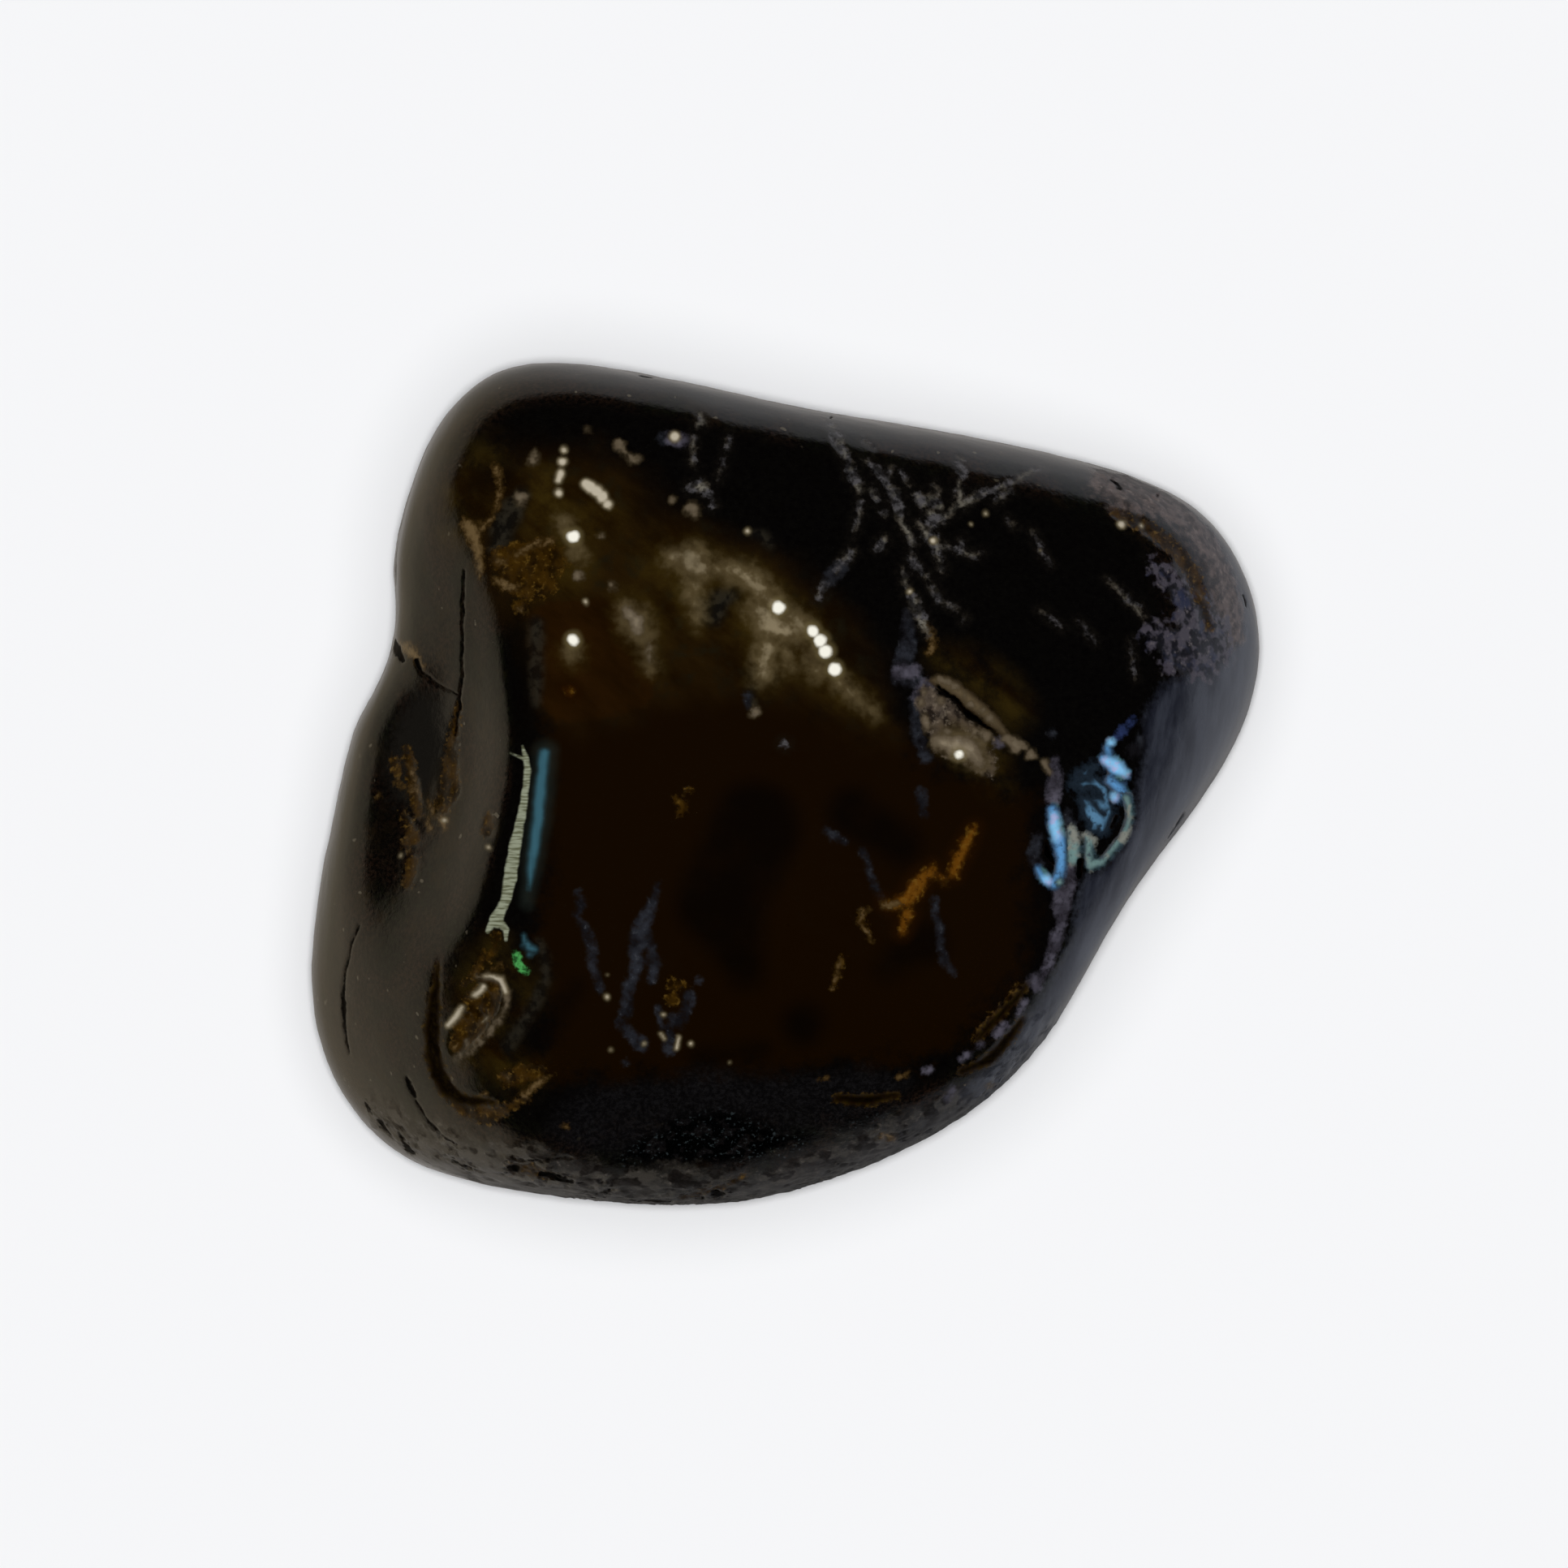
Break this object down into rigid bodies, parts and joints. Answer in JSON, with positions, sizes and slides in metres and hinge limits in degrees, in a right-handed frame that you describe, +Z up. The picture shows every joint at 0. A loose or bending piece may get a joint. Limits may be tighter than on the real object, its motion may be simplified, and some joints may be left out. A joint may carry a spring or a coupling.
{
  "type": "tumbled garnet stone",
  "caption": "Polished tumbled garnet pebble, near black, with soft worn faces, wide rounded edges and a flat underside to rest on.",
  "frame": {"origin": "on the surface that the stone rests on, under the middle of its box", "axes": "+Z up, +X along the stone's length towards its narrower right corner, +Y towards its straight back side"},
  "size_m": [0.0262, 0.0232, 0.0144],
  "materials": {
    "polished_garnet": "polished"
  },
  "bodies": {
    "root": {"garnet": "polished_garnet"}
  },
  "joints": []
}
